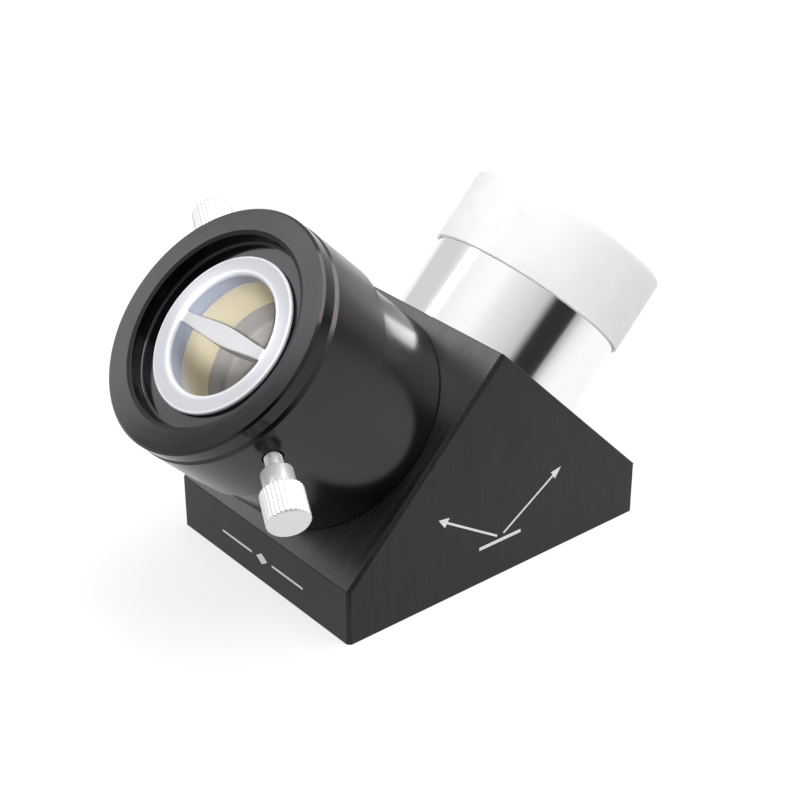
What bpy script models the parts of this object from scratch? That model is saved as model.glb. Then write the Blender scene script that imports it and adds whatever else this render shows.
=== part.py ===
"""Two-inch mirror star diagonal, standing on its base plate.

Frame: origin at the centre of the base, Z up. X runs along the base, from the eyepiece side at -X
to the nosepiece side at +X. Y runs across the block. The eyepiece axis and the nosepiece axis cross
on the mirror's coated face, and each stands 45 degrees from the base.

A turned piece is drawn in its own axis frame: local Z runs outwards along the tube's axis, and
stations are counted from the crossing of the two axes.
"""
import math

import bmesh
import bpy

MM = 0.001
GAP = 0.3 * MM                      # clearance between pieces that touch on the real object

# Housing block
BASE_LENGTH = 90.0 * MM
BASE_WIDTH = 66.0 * MM
RIDGE_HEIGHT = 58.6 * MM
RIDGE_X = -0.4 * MM
EDGE_CHAMFER = 0.8 * MM
FINE_EDGE = 0.25                    # share of the chamfer on the sharper edges

# Optical axes
AXIS_X = 0.7 * MM
AXIS_Z = 13.8 * MM
EYEPIECE_FACE = (RIDGE_HEIGHT + AXIS_X - RIDGE_X - AXIS_Z) / math.sqrt(2)
NOSEPIECE_FACE = (RIDGE_HEIGHT - AXIS_X + RIDGE_X - AXIS_Z) / math.sqrt(2)
LIGHT_PATH_RADIUS = 23.4 * MM
SOCKET_DEPTH = 5.0 * MM
BORE_STEPS = 56

# Mirror and its cover
MIRROR_LENGTH = 70.0 * MM
MIRROR_WIDTH = 50.0 * MM
MIRROR_THICKNESS = 9.0 * MM
PLATE_LENGTH = 81.0 * MM
PLATE_WIDTH = 59.0 * MM
PLATE_THICKNESS = 2.8 * MM
PLATE_CORNER = 4.0 * MM
PAD_RADIUS = 4.0 * MM
PAD_AT = (21.0 * MM, 15.0 * MM)
PLATE_SCREW_AT = (36.0 * MM, 25.0 * MM)
PLATE_SCREW_LENGTH = 9.0 * MM
PLATE_SCREW_RADIUS = 1.5 * MM
PLATE_SCREW_HEAD = 2.9 * MM

# Two-inch holder
TWO_INCH_RADIUS = 25.4 * MM
TWO_INCH_BORE = 25.55 * MM
TUBE_RADIUS = 28.4 * MM
TUBE_NECK_RADIUS = 27.2 * MM
TUBE_SPIGOT_RADIUS = 26.0 * MM
SEAM = 56.1 * MM                    # station where the clamping barrel meets the plain tube
TUBE_NECK_TOP = 61.5 * MM
BORE_STEP = 45.0 * MM
BARREL_RADIUS = 29.6 * MM
BARREL_FRONT = 74.75 * MM
BARREL_CHAMFER = 0.9 * MM

# Thumbscrews
SCREW_STATION = 66.8 * MM
SCREW_ANGLE = math.radians(237.3)   # round the eyepiece axis, from its local X
STUD_RADIUS = 2.0 * MM
STUD_IN_HEAD = 4.0 * MM
STUD_BELOW_HUB = 4.3 * MM
HUB_RADIUS = 3.6 * MM
HUB_LENGTH = 5.05 * MM
HEAD_RADIUS = 4.84 * MM
HEAD_LENGTH = 8.35 * MM
HEAD_CHAMFER = 0.5 * MM
KNURL_COUNT = 30
KNURL_DEPTH = 0.22 * MM
HUB_STARTS = (33.4 * MM, 30.7 * MM) # radius where each hub starts: the first is backed out further

# Clamp rings
RING_SPLIT = 3.0 * MM
HOLDER_GROOVE = (62.9 * MM, 71.8 * MM, 26.75 * MM)
ADAPTER_GROOVE = (59.5 * MM, 69.6 * MM, 17.4 * MM)

# Two-inch to 1.25-inch adapter
FLANGE_FRONT = 78.85 * MM
FLANGE_BACK = 75.05 * MM
FLANGE_RADIUS = 29.4 * MM
FLANGE_CHAMFER = 0.55 * MM
RECESS_RADIUS = 22.95 * MM
RECESS_LIP = 23.88 * MM
RECESS_LIP_DEPTH = 0.32 * MM
RECESS_FLOOR = 74.95 * MM
RECESS_FILLET = 0.9 * MM
ADAPTER_BARREL_RADIUS = 25.25 * MM
ADAPTER_END = 50.0 * MM
INCH_AND_QUARTER_BORE = 15.95 * MM

# Dust plug
PLUG_TOP = 76.15 * MM
PLUG_FLANGE_RADIUS = 18.85 * MM
PLUG_MOUTH_RADIUS = 14.57 * MM
PLUG_CUP_RADIUS = 15.6 * MM
PLUG_CUP_WALL = 1.2 * MM
PLUG_END = 54.9 * MM
PLUG_BAR_WIDTH = (2.7 * MM, 4.6 * MM)
PLUG_BAR_HEIGHT = 5.0 * MM
PLUG_BAR_ANGLE = math.radians(93.0)

# Nosepiece and its cap
NOSEPIECE_BORE = 23.4 * MM
NOSEPIECE_END = 70.0 * MM
FILTER_THREAD_RADIUS = 24.0 * MM
FILTER_THREAD_DEPTH = 5.0 * MM
CAP_RADIUS = 26.35 * MM
CAP_OPEN_END = 51.3 * MM
CAP_CLOSED_END = 71.5 * MM
CAP_WALL = 0.65 * MM
CAP_END_WALL = 1.1 * MM
CAP_EDGE = 1.2 * MM

# Finishes: colour, roughness, metallic
FINISHES = {
    "black_anodised": ((0.045, 0.045, 0.047, 1.0), 0.45, 0.6),
    "gloss_black": ((0.03, 0.03, 0.032, 1.0), 0.25, 0.6),
    "black_screw": ((0.03, 0.03, 0.03, 1.0), 0.4, 0.8),
    "bright_metal": ((0.85, 0.85, 0.86, 1.0), 0.2, 1.0),
    "chrome": ((0.88, 0.88, 0.9, 1.0), 0.12, 1.0),
    "brass": ((0.75, 0.6, 0.3, 1.0), 0.3, 1.0),
    "milky_plastic": ((0.85, 0.87, 0.9, 1.0), 0.45, 0.0),
    "mirror_coating": ((0.7, 0.75, 0.8, 1.0), 0.03, 1.0),
    "black_rubber": ((0.03, 0.03, 0.03, 1.0), 0.85, 0.0),
}


def clear_scene():
    for obj in list(bpy.data.objects):
        bpy.data.objects.remove(obj, do_unlink=True)


def new_collection(name):
    collection = bpy.data.collections.new(name)
    bpy.context.scene.collection.children.link(collection)
    return collection


clear_scene()
PARTS = new_collection("star_diagonal")
CUTTERS = new_collection("cutters")


def material(finish):
    """The material of one finish, made the first time it is asked for."""
    existing = bpy.data.materials.get(finish)
    if existing:
        return existing
    colour, roughness, metallic = FINISHES[finish]
    made = bpy.data.materials.new(finish)
    made.use_nodes = True
    made.diffuse_color = colour
    shader = made.node_tree.nodes["Principled BSDF"]
    shader.inputs["Base Color"].default_value = colour
    shader.inputs["Roughness"].default_value = roughness
    shader.inputs["Metallic"].default_value = metallic
    return made


def axis_frame(name, location, rotation, parent=None):
    """An empty whose local Z is the axis that turned pieces share."""
    empty = bpy.data.objects.new(name, None)
    empty.location = location
    empty.rotation_euler = rotation
    empty.empty_display_size = 10 * MM
    empty.parent = parent
    PARTS.objects.link(empty)
    return empty


def add_object(name, mesh, parent, finish):
    obj = bpy.data.objects.new(name, mesh)
    obj.parent = parent
    PARTS.objects.link(obj)
    mesh.materials.append(material(finish))
    for polygon in mesh.polygons:
        polygon.use_smooth = True
    mesh.set_sharp_from_angle(angle=math.radians(35))
    return obj


def add_cutter(name, mesh, parent):
    obj = bpy.data.objects.new(name, mesh)
    obj.parent = parent
    obj.hide_render = True
    obj.display_type = "WIRE"
    CUTTERS.objects.link(obj)
    return obj


def cut(target, cutter, operation="DIFFERENCE"):
    modifier = target.modifiers.new(cutter.name, "BOOLEAN")
    modifier.operation = operation
    modifier.solver = "EXACT"
    modifier.object = cutter


def outline_mesh(name, loops, thickness):
    """A flat outline with its holes, as thick as asked, centred on local Z = 0."""
    curve = bpy.data.curves.new(name, "CURVE")
    curve.dimensions = "2D"
    curve.fill_mode = "BOTH"
    curve.extrude = thickness / 2
    for points in loops:
        spline = curve.splines.new("POLY")
        spline.points.add(len(points) - 1)
        for point, (x, y) in zip(spline.points, points):
            point.co = (x, y, 0.0, 1.0)
        spline.use_cyclic_u = True
    drawn = bpy.data.objects.new(name, curve)
    mesh = bpy.data.meshes.new_from_object(drawn)
    bpy.data.objects.remove(drawn)
    bpy.data.curves.remove(curve)
    mesh.materials.clear()
    join_flat_faces(mesh)
    return mesh


def join_flat_faces(mesh):
    """Weld the caps of a filled curve to its sides, and make each flat side one face."""
    work = bmesh.new()
    work.from_mesh(mesh)
    bmesh.ops.remove_doubles(work, verts=work.verts, dist=0.001 * MM)
    bmesh.ops.dissolve_limit(work, angle_limit=math.radians(1), verts=work.verts, edges=work.edges)
    bmesh.ops.recalc_face_normals(work, faces=work.faces)
    work.to_mesh(mesh)
    work.free()


def arc(centre, radius, start, end, count):
    """Points along an arc, both ends included, angles in degrees."""
    points = []
    for index in range(count + 1):
        angle = math.radians(start + (end - start) * index / count)
        points.append((centre[0] + radius * math.cos(angle), centre[1] + radius * math.sin(angle)))
    return points


def rounded_rectangle(length, width, radius, count=6):
    points = []
    corners = ((1, 1, 0), (-1, 1, 90), (-1, -1, 180), (1, -1, 270))
    for side_x, side_y, start in corners:
        centre = (side_x * (length / 2 - radius), side_y * (width / 2 - radius))
        points += arc(centre, radius, start, start + 90, count)
    return points


def circle(radius, count=40):
    return arc((0.0, 0.0), radius, 0, 360 - 360 / count, count - 1)


def turned_mesh(name, profile, closed):
    """The half profile, as (radius, station) points down its outer side and back up its bore."""
    mesh = bpy.data.meshes.new(name)
    count = len(profile)
    edges = [(index, index + 1) for index in range(count - 1)]
    if closed:
        edges.append((count - 1, 0))
    mesh.from_pydata([(radius, 0.0, station) for radius, station in profile], edges, [])
    return mesh


def spin(obj, steps):
    screw = obj.modifiers.new("turn", "SCREW")
    screw.axis = "Z"
    screw.angle = math.radians(360)
    screw.steps = steps
    screw.render_steps = steps
    screw.use_merge_vertices = True
    screw.merge_threshold = 0.00001
    screw.use_smooth_shade = True


def tube(name, profile, parent, finish, steps=56):
    """A turned piece with a bore: its profile is a closed loop clear of the axis."""
    obj = add_object(name, turned_mesh(name, profile, True), parent, finish)
    spin(obj, steps)
    return obj


def spindle(name, profile, parent, finish, steps=32):
    """A turned piece without a bore: its profile starts and ends on the axis."""
    obj = add_object(name, turned_mesh(name, profile, False), parent, finish)
    spin(obj, steps)
    return obj


def round_cutter(name, radius, low, high, parent, steps=56):
    profile = [(0.0, high), (radius, high), (radius, low), (0.0, low)]
    cutter = add_cutter(name, turned_mesh(name, profile, False), parent)
    spin(cutter, steps)
    return cutter


def outline_cutter(name, points, low, high, parent=None, at=(0.0, 0.0)):
    cutter = add_cutter(name, outline_mesh(name, [points], high - low), parent)
    cutter.location = (at[0], at[1], (low + high) / 2)
    return cutter


def split_ring(name, inner, outer, low, high, parent):
    """A brass clamp ring with a gap, so that it can close on a barrel."""
    ring = tube(name, [(outer, high), (outer, low), (inner, low), (inner, high)], parent, "brass")
    half = RING_SPLIT / 2
    slot = [(0.0, -half), (2 * outer, -half), (2 * outer, half), (0.0, half)]
    cut(ring, outline_cutter(name + "_split", slot, low - MM, high + MM, parent))
    return ring


EYEPIECE_AXIS = axis_frame("eyepiece_axis", (AXIS_X, 0, AXIS_Z), (0, -math.radians(45), 0))
NOSEPIECE_AXIS = axis_frame("nosepiece_axis", (AXIS_X, 0, AXIS_Z), (0, math.radians(45), 0))
SCREW_AXES = [
    axis_frame(
        f"thumbscrew_{number}_axis", (0, 0, SCREW_STATION),
        (0, math.radians(90), SCREW_ANGLE + math.pi * (number - 1)), EYEPIECE_AXIS)
    for number in (1, 2)
]


def plate_screw_places():
    return [(x * PLATE_SCREW_AT[0], y * PLATE_SCREW_AT[1]) for x in (-1, 1) for y in (-1, 1)]


def build_housing():
    half = BASE_LENGTH / 2
    left_top = RIDGE_HEIGHT - (RIDGE_X + half)
    right_top = RIDGE_HEIGHT - (half - RIDGE_X)
    outline = [(-half, 0.0), (half, 0.0), (half, right_top), (RIDGE_X, RIDGE_HEIGHT), (-half, left_top)]
    mesh = outline_mesh("housing", [outline], BASE_WIDTH)
    housing = add_object("housing", mesh, None, "black_anodised")
    housing.rotation_euler = (math.radians(90), 0, 0)
    weigh_housing_edges(mesh)
    bevel = housing.modifiers.new("edge_chamfers", "BEVEL")
    bevel.width = EDGE_CHAMFER
    bevel.segments = 1
    bevel.limit_method = "WEIGHT"
    cut(housing, stepped_bore("eyepiece_path", TUBE_SPIGOT_RADIUS + GAP, EYEPIECE_FACE, EYEPIECE_AXIS))
    nosepiece_path = stepped_bore("nosepiece_path", TWO_INCH_RADIUS + GAP, NOSEPIECE_FACE, NOSEPIECE_AXIS)
    nosepiece_path.rotation_euler.z = math.pi / BORE_STEPS
    cut(housing, nosepiece_path)
    pocket = rounded_rectangle(MIRROR_LENGTH + 2 * GAP, MIRROR_WIDTH + 2 * GAP, MIRROR_WIDTH / 2, 12)
    cut(housing, outline_cutter("mirror_pocket", pocket, -MM, AXIS_Z + GAP, at=(AXIS_X, 0)))
    recess = rounded_rectangle(PLATE_LENGTH + 2 * GAP, PLATE_WIDTH + 2 * GAP, PLATE_CORNER + GAP)
    cut(housing, outline_cutter("plate_recess", recess, -MM, PLATE_THICKNESS + GAP))
    for number, place in enumerate(plate_screw_places(), 1):
        name = f"tapped_hole_{number}"
        hole = circle(PLATE_SCREW_RADIUS + GAP, 16)
        cut(housing, outline_cutter(name, hole, -2 * MM, PLATE_SCREW_LENGTH + MM, at=place))
    return housing


def stepped_bore(name, socket_radius, face, parent):
    """The light path along one axis, with the wider socket that its tube sits in."""
    shoulder = face - SOCKET_DEPTH
    profile = [
        (0.0, face + MM), (socket_radius, face + MM), (socket_radius, shoulder),
        (LIGHT_PATH_RADIUS, shoulder), (LIGHT_PATH_RADIUS, 0.0), (0.0, 0.0)]
    cutter = add_cutter(name, turned_mesh(name, profile, False), parent)
    spin(cutter, BORE_STEPS)
    return cutter


def weigh_housing_edges(mesh):
    """Full chamfer round the eyepiece slope and the upright corners, a fine one on the other slope."""
    weights = mesh.attributes.new("bevel_weight_edge", "FLOAT", "EDGE")
    half = BASE_LENGTH / 2
    for edge in mesh.edges:
        ends = [mesh.vertices[index].co for index in edge.vertices]
        across = abs(ends[0].z - ends[1].z) > MM
        on_base = max(end.y for end in ends) < MM
        middle_x = (ends[0].x + ends[1].x) / 2
        upright = abs(ends[0].x - ends[1].x) < MM
        on_nosepiece_slope = RIDGE_X < middle_x < half - MM
        if on_base:
            weights.data[edge.index].value = 0.0
        elif across or on_nosepiece_slope:
            weights.data[edge.index].value = FINE_EDGE
        elif upright or middle_x < RIDGE_X:
            weights.data[edge.index].value = 1.0


def build_back_plate():
    outline = rounded_rectangle(PLATE_LENGTH, PLATE_WIDTH, PLATE_CORNER)
    mesh = outline_mesh("back_plate", [outline], PLATE_THICKNESS)
    plate = add_object("back_plate", mesh, None, "black_anodised")
    plate.location.z = PLATE_THICKNESS / 2
    for number, place in enumerate(plate_screw_places(), 1):
        flare = PLATE_SCREW_HEAD - PLATE_SCREW_RADIUS
        profile = [
            (0.0, PLATE_THICKNESS + MM), (PLATE_SCREW_RADIUS + GAP, PLATE_THICKNESS + MM),
            (PLATE_SCREW_RADIUS + GAP, flare), (PLATE_SCREW_HEAD + GAP, 0.0),
            (PLATE_SCREW_HEAD + GAP, -MM), (0.0, -MM)]
        sink = add_cutter(f"countersink_{number}", turned_mesh("countersink", profile, False), None)
        sink.location = (place[0], place[1], 0)
        spin(sink, 24)
        cut(plate, sink)
    return plate


def build_plate_screws():
    face = 0.1 * MM
    for number, place in enumerate(plate_screw_places(), 1):
        flare = PLATE_SCREW_HEAD - PLATE_SCREW_RADIUS
        profile = [
            (0.0, PLATE_SCREW_LENGTH), (PLATE_SCREW_RADIUS, PLATE_SCREW_LENGTH),
            (PLATE_SCREW_RADIUS, flare + face), (PLATE_SCREW_HEAD, face), (0.0, face)]
        screw = spindle(f"plate_screw_{number}", profile, None, "black_screw", 24)
        screw.location = (place[0], place[1], 0)
        key = outline_cutter(f"hex_socket_{number}", circle(1.0 * MM, 6), -MM, 1.1 * MM, at=place)
        cut(screw, key)


def build_mirror():
    bottom = AXIS_Z - MIRROR_THICKNESS
    outline = rounded_rectangle(MIRROR_LENGTH, MIRROR_WIDTH, MIRROR_WIDTH / 2 - GAP, 12)
    mesh = outline_mesh("mirror", [outline], MIRROR_THICKNESS)
    mirror = add_object("mirror", mesh, None, "mirror_coating")
    mirror.location = (AXIS_X, 0, bottom + MIRROR_THICKNESS / 2)
    low = PLATE_THICKNESS + GAP
    high = bottom - GAP
    places = [(x * PAD_AT[0], y * PAD_AT[1]) for x in (-1, 1) for y in (-1, 1)]
    for number, (x, y) in enumerate(places, 1):
        name = f"mirror_pad_{number}"
        pad_mesh = outline_mesh(name, [circle(PAD_RADIUS, 24)], high - low)
        pad = add_object(name, pad_mesh, None, "black_rubber")
        pad.location = (AXIS_X + x, y, (low + high) / 2)


def build_holder_tube():
    shoulder = EYEPIECE_FACE + GAP
    neck = SEAM - GAP
    spigot_end = EYEPIECE_FACE - SOCKET_DEPTH + GAP
    profile = [
        (TUBE_NECK_RADIUS, TUBE_NECK_TOP), (TUBE_NECK_RADIUS, neck), (TUBE_RADIUS, neck),
        (TUBE_RADIUS, shoulder), (TUBE_SPIGOT_RADIUS, shoulder), (TUBE_SPIGOT_RADIUS, spigot_end),
        (LIGHT_PATH_RADIUS, spigot_end), (LIGHT_PATH_RADIUS, BORE_STEP), (TWO_INCH_BORE, BORE_STEP),
        (TWO_INCH_BORE, TUBE_NECK_TOP)]
    tube("holder_tube", profile, EYEPIECE_AXIS, "gloss_black")


def build_eyepiece_holder():
    low, high, groove = HOLDER_GROOVE
    neck_bore = TUBE_NECK_RADIUS + GAP
    neck_top = TUBE_NECK_TOP + GAP
    profile = [
        (BARREL_RADIUS - BARREL_CHAMFER, BARREL_FRONT), (BARREL_RADIUS, BARREL_FRONT - BARREL_CHAMFER),
        (BARREL_RADIUS, SEAM + GAP), (BARREL_RADIUS - GAP, SEAM), (neck_bore, SEAM),
        (neck_bore, neck_top), (TWO_INCH_BORE, neck_top), (TWO_INCH_BORE, low), (groove, low),
        (groove, high), (TWO_INCH_BORE, high), (TWO_INCH_BORE, BARREL_FRONT - GAP),
        (TWO_INCH_BORE + GAP, BARREL_FRONT)]
    holder = tube("eyepiece_holder", profile, EYEPIECE_AXIS, "gloss_black", 72)
    for number, screw_axis in enumerate(SCREW_AXES, 1):
        name = f"thumbscrew_hole_{number}"
        radius = STUD_RADIUS + GAP
        cut(holder, round_cutter(name, radius, TWO_INCH_RADIUS, BARREL_RADIUS + MM, screw_axis, 24))
    outer = groove - 0.55 * MM
    split_ring("holder_clamp_ring", TWO_INCH_BORE, outer, low + GAP, high - GAP, EYEPIECE_AXIS)


def knurled_outline():
    """A circle cut by shallow V grooves: crests and roots in turn."""
    points = []
    for index in range(2 * KNURL_COUNT):
        angle = math.pi * index / KNURL_COUNT
        radius = HEAD_RADIUS - KNURL_DEPTH * (index % 2)
        points.append((radius * math.cos(angle), radius * math.sin(angle)))
    return points


def build_thumbscrews():
    for number, (screw_axis, hub_start) in enumerate(zip(SCREW_AXES, HUB_STARTS), 1):
        hub_end = hub_start + HUB_LENGTH
        head_end = hub_end + HEAD_LENGTH
        tip = hub_start - STUD_BELOW_HUB
        buried = hub_start + STUD_IN_HEAD
        chamfer = 0.4 * MM
        profile = [
            (0.0, buried), (STUD_RADIUS, buried), (STUD_RADIUS, tip + chamfer),
            (STUD_RADIUS - chamfer, tip), (0.0, tip)]
        spindle(f"thumbscrew_{number}_stud", profile, screw_axis, "bright_metal", 24)
        name = f"thumbscrew_{number}_head"
        knurl = HEAD_LENGTH - 2 * HEAD_CHAMFER
        head = add_object(name, outline_mesh(name, [knurled_outline()], knurl), screw_axis, "bright_metal")
        head.location.z = hub_end + HEAD_LENGTH / 2
        root = HEAD_RADIUS - KNURL_DEPTH - HEAD_CHAMFER
        core = HEAD_RADIUS - 2 * KNURL_DEPTH
        bore = STUD_RADIUS + GAP
        body_profile = [
            (0.0, head_end), (root, head_end), (core, head_end - HEAD_CHAMFER),
            (core, hub_end + HEAD_CHAMFER), (root, hub_end), (HUB_RADIUS, hub_end),
            (HUB_RADIUS, hub_start), (bore, hub_start), (bore, buried + GAP), (0.0, buried + GAP)]
        body = add_cutter(name + "_body", turned_mesh(name, body_profile, False), screw_axis)
        spin(body, 30)
        cut(head, body, "UNION")
        cut(head, round_cutter(name + "_bore", bore, hub_start - MM, buried + GAP, screw_axis, 30))


def build_adapter():
    low, high, groove = ADAPTER_GROOVE
    bore = INCH_AND_QUARTER_BORE
    lead = 0.4 * MM
    centre = (RECESS_RADIUS - RECESS_FILLET, RECESS_FLOOR + RECESS_FILLET)
    profile = [
        (FLANGE_RADIUS - FLANGE_CHAMFER, FLANGE_FRONT), (FLANGE_RADIUS, FLANGE_FRONT - FLANGE_CHAMFER),
        (FLANGE_RADIUS, FLANGE_BACK), (ADAPTER_BARREL_RADIUS, FLANGE_BACK),
        (ADAPTER_BARREL_RADIUS, ADAPTER_END + lead), (ADAPTER_BARREL_RADIUS - lead, ADAPTER_END),
        (bore, ADAPTER_END), (bore, low), (groove, low), (groove, high), (bore, high),
        (bore, RECESS_FLOOR - lead), (bore + lead, RECESS_FLOOR)]
    profile += arc(centre, RECESS_FILLET, 270, 360, 3)
    profile += [(RECESS_RADIUS, FLANGE_FRONT - RECESS_LIP_DEPTH), (RECESS_LIP, FLANGE_FRONT)]
    tube("adapter_body", profile, EYEPIECE_AXIS, "gloss_black", 64)
    inner = bore + 0.25 * MM
    split_ring("adapter_clamp_ring", inner, groove - GAP, low + GAP, high - GAP, EYEPIECE_AXIS)


def plug_bar_outline():
    """The handle seen from the front: thin at the cup's wall, thicker at the middle."""
    half_length = PLUG_MOUTH_RADIUS + 0.4 * MM
    thin, thick = PLUG_BAR_WIDTH
    upper = []
    for index in range(13):
        along = -1 + 2 * index / 12
        swell = math.cos(math.pi * along / 2) ** 2
        upper.append((half_length * along, (thin + (thick - thin) * swell) / 2))
    return upper + [(x, -y) for x, y in reversed(upper)]


def build_dust_plug():
    under = RECESS_FLOOR + GAP
    edge = 0.3 * MM
    inner = PLUG_CUP_RADIUS - PLUG_CUP_WALL
    draft = 0.3 * MM
    floor = PLUG_END + 1.0 * MM
    profile = [
        (0.0, floor), (inner - draft, floor), (inner, PLUG_TOP - 2 * edge),
        (PLUG_MOUTH_RADIUS, PLUG_TOP - edge), (PLUG_MOUTH_RADIUS + edge, PLUG_TOP),
        (PLUG_FLANGE_RADIUS - edge, PLUG_TOP),
        (PLUG_FLANGE_RADIUS, PLUG_TOP - edge), (PLUG_FLANGE_RADIUS, under), (PLUG_CUP_RADIUS, under),
        (PLUG_CUP_RADIUS - draft, PLUG_END), (0.0, PLUG_END)]
    plug = spindle("dust_plug", profile, EYEPIECE_AXIS, "milky_plastic", 56)
    bar_mesh = outline_mesh("plug_bar", [plug_bar_outline()], PLUG_BAR_HEIGHT)
    bar = add_cutter("plug_bar", bar_mesh, EYEPIECE_AXIS)
    bar.location.z = PLUG_TOP - 2 * edge - PLUG_BAR_HEIGHT / 2
    bar.rotation_euler.z = PLUG_BAR_ANGLE
    cut(plug, bar, "UNION")


def build_nosepiece():
    spigot_end = NOSEPIECE_FACE - SOCKET_DEPTH + GAP
    thread_end = NOSEPIECE_END - FILTER_THREAD_DEPTH
    edge = 0.4 * MM
    profile = [
        (TWO_INCH_RADIUS - edge, NOSEPIECE_END), (TWO_INCH_RADIUS, NOSEPIECE_END - edge),
        (TWO_INCH_RADIUS, spigot_end), (NOSEPIECE_BORE, spigot_end), (NOSEPIECE_BORE, thread_end),
        (FILTER_THREAD_RADIUS, thread_end), (FILTER_THREAD_RADIUS, NOSEPIECE_END)]
    tube("nosepiece", profile, NOSEPIECE_AXIS, "chrome", 64)


def build_nosepiece_cap():
    inner = CAP_RADIUS - CAP_WALL
    profile = [
        (0.0, CAP_CLOSED_END), (CAP_RADIUS - CAP_EDGE, CAP_CLOSED_END),
        (CAP_RADIUS, CAP_CLOSED_END - CAP_EDGE), (CAP_RADIUS, CAP_OPEN_END),
        (inner, CAP_OPEN_END), (inner, CAP_CLOSED_END - CAP_END_WALL),
        (0.0, CAP_CLOSED_END - CAP_END_WALL)]
    spindle("nosepiece_cap", profile, NOSEPIECE_AXIS, "milky_plastic", 64)


def main():
    build_housing()
    build_back_plate()
    build_plate_screws()
    build_mirror()
    build_holder_tube()
    build_eyepiece_holder()
    build_thumbscrews()
    build_adapter()
    build_dust_plug()
    build_nosepiece()
    build_nosepiece_cap()


main()
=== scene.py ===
import math

import bmesh
import bpy
from mathutils import Matrix, Vector


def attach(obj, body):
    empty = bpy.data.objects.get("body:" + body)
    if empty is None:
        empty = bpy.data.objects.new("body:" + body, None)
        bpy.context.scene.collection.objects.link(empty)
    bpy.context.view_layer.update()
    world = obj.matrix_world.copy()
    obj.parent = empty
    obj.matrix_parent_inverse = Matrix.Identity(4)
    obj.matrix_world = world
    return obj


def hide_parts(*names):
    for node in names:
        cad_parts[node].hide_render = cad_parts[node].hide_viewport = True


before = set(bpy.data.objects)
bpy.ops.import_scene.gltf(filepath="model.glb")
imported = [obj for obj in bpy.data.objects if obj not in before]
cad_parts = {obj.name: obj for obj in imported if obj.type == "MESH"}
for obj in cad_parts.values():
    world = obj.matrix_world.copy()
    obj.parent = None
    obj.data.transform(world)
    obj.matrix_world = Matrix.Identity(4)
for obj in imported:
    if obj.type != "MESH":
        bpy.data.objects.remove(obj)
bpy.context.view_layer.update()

# Lengths below are in mm, as MM turns them into metres.
MM = 0.001
FINE = 0.12                 # rounding of an ordinary turned edge
STEPS = 192                 # facets round a turned piece
SMALL_STEPS = 64            # facets round a small hole or screw
SMOOTH_UP_TO = 38           # degrees: a sharper edge is shaded as an edge

BLOCK_HALF_LENGTH = 45.0
BLOCK_HALF_WIDTH = 33.0
RIDGE_X = -0.4
RIDGE_Z = 58.6
PLATE_THICKNESS = 2.8
LIGHT_PATH = 23.4           # radius of the opening for the light, in the block and in both tubes

TWO_INCH = 25.4             # outer radius of the nosepiece
TWO_INCH_BORE = 25.55       # radius of the eyepiece holder's bore
TUBE = 28.4                 # outer radius of the holder's plain tube
BARREL = 29.6               # outer radius of the clamping barrel
ADAPTER_BORE = 15.95        # radius that takes a 1.25-inch eyepiece
RING_SPLIT = 3.0            # width of the slot in each brass clamp ring
CAP = 26.35                 # outer radius of the nosepiece's cap

# An outline drawn in x and y stands up in X and Z.
UPRIGHT = Matrix.Rotation(math.pi / 2, 4, "X")

# The two optical axes cross on the mirror's face; each stands 45 degrees from the base.
CROSSING = Matrix.Translation((0.7 * MM, 0, 13.8 * MM))
EYEPIECE = CROSSING @ Matrix.Rotation(math.radians(-45), 4, "Y")
NOSEPIECE = CROSSING @ Matrix.Rotation(math.radians(45), 4, "Y")

# Thumbscrews: both lie on one line across the barrel. The first is backed out further.
SCREW_STATION = 66.8        # along the eyepiece axis
SCREW_TURN = 237.3          # degrees round that axis
HUB_STARTS = (33.4, 30.7)   # distance of each hub from the axis
HUB = 3.6                   # radius
HUB_LENGTH = 5.05
HEAD = 4.84                 # radius over the knurling's ridges
HEAD_LENGTH = 8.35
HEAD_BEVEL_START = 4.44     # radius where the head's inner bevel, and its knurling, begin
RIDGES = 30
STUD = 2.0                  # radius
STUD_ROOT = 1.6             # radius at the bottom of the thread
STUD_BELOW_HUB = 4.3
PITCH = 0.7


def screw_frame(number):
    """Local Z runs out of the barrel along thumbscrew 1 or 2."""
    turn = math.radians(SCREW_TURN + 180 * (number - 1))
    place = Matrix.Translation((0, 0, SCREW_STATION * MM))
    return EYEPIECE @ place @ Matrix.Rotation(turn, 4, "Z") @ Matrix.Rotation(math.pi / 2, 4, "Y")


# ---------------------------------------------------------------- materials

def feed(tree, socket, value):
    """Link a socket to another one, or give it a plain value."""
    if isinstance(value, bpy.types.NodeSocket):
        tree.links.new(value, socket)
    else:
        socket.default_value = value


def add_node(tree, kind, *inputs, **settings):
    """A new node, with its first inputs fed and its settings made."""
    made = tree.nodes.new(kind)
    for key, value in settings.items():
        setattr(made, key, value)
    for index, value in enumerate(inputs):
        feed(tree, made.inputs[index], value)
    return made


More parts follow.
